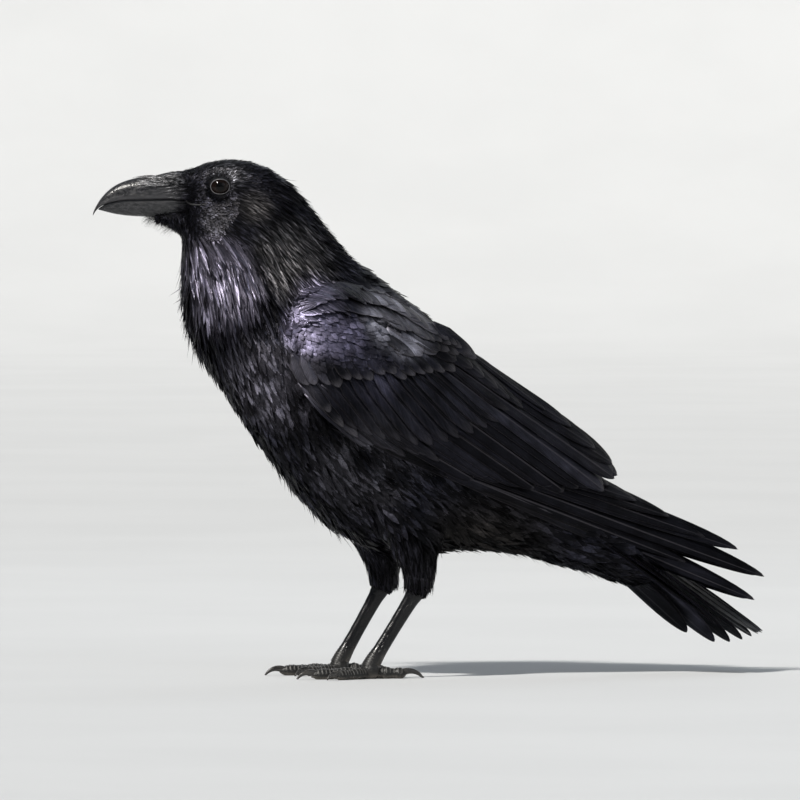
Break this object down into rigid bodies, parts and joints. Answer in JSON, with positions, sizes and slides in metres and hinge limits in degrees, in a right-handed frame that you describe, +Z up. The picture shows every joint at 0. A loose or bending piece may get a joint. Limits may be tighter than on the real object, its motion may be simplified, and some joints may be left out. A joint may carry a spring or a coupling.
{
  "type": "raven",
  "caption": "Life-size common raven standing at rest on both feet, wings folded, head turned a little to its right.",
  "frame": {"origin": "on the floor under the middle of the bird's outline", "axes": "-Y the way the body faces, +X the bird's left, +Z up; the floor is the plane Z = 0"},
  "size_m": [0.1316, 0.513, 0.389],
  "materials": {
    "plumage": "black feathers with a violet-blue gloss, stronger on the shoulders and throat",
    "flight_feathers": "blue-black flight feathers, browner on the tail",
    "bill": "slate-black horn with a satin polish",
    "leg_skin": "black scaled skin, with greyer pads under the toes",
    "claw": "polished dark horn",
    "eye": "wet dark-brown eye, almost black"
  },
  "bodies": {
    "root": {"head": "plumage", "neck": "plumage", "trunk": "plumage", "thigh_left": "plumage", "thigh_right": "plumage", "wing_left_coverts": "plumage", "wing_right_coverts": "plumage", "tail": "flight_feathers", "wing_left_secondaries": "flight_feathers", "wing_left_primaries": "flight_feathers", "wing_right_secondaries": "flight_feathers", "wing_right_primaries": "flight_feathers", "upper_bill": "bill", "lower_bill": "bill", "eye_left": "eye", "eye_right": "eye", "tarsus_left": "leg_skin", "tarsus_right": "leg_skin", "toe_left_1": "leg_skin", "toe_left_2": "leg_skin", "toe_left_3": "leg_skin", "toe_left_4": "leg_skin", "toe_right_1": "leg_skin", "toe_right_2": "leg_skin", "toe_right_3": "leg_skin", "toe_right_4": "leg_skin", "claw_left_1": "claw", "claw_left_2": "claw", "claw_left_3": "claw", "claw_left_4": "claw", "claw_right_1": "claw", "claw_right_2": "claw", "claw_right_3": "claw", "claw_right_4": "claw"}
  },
  "joints": []
}
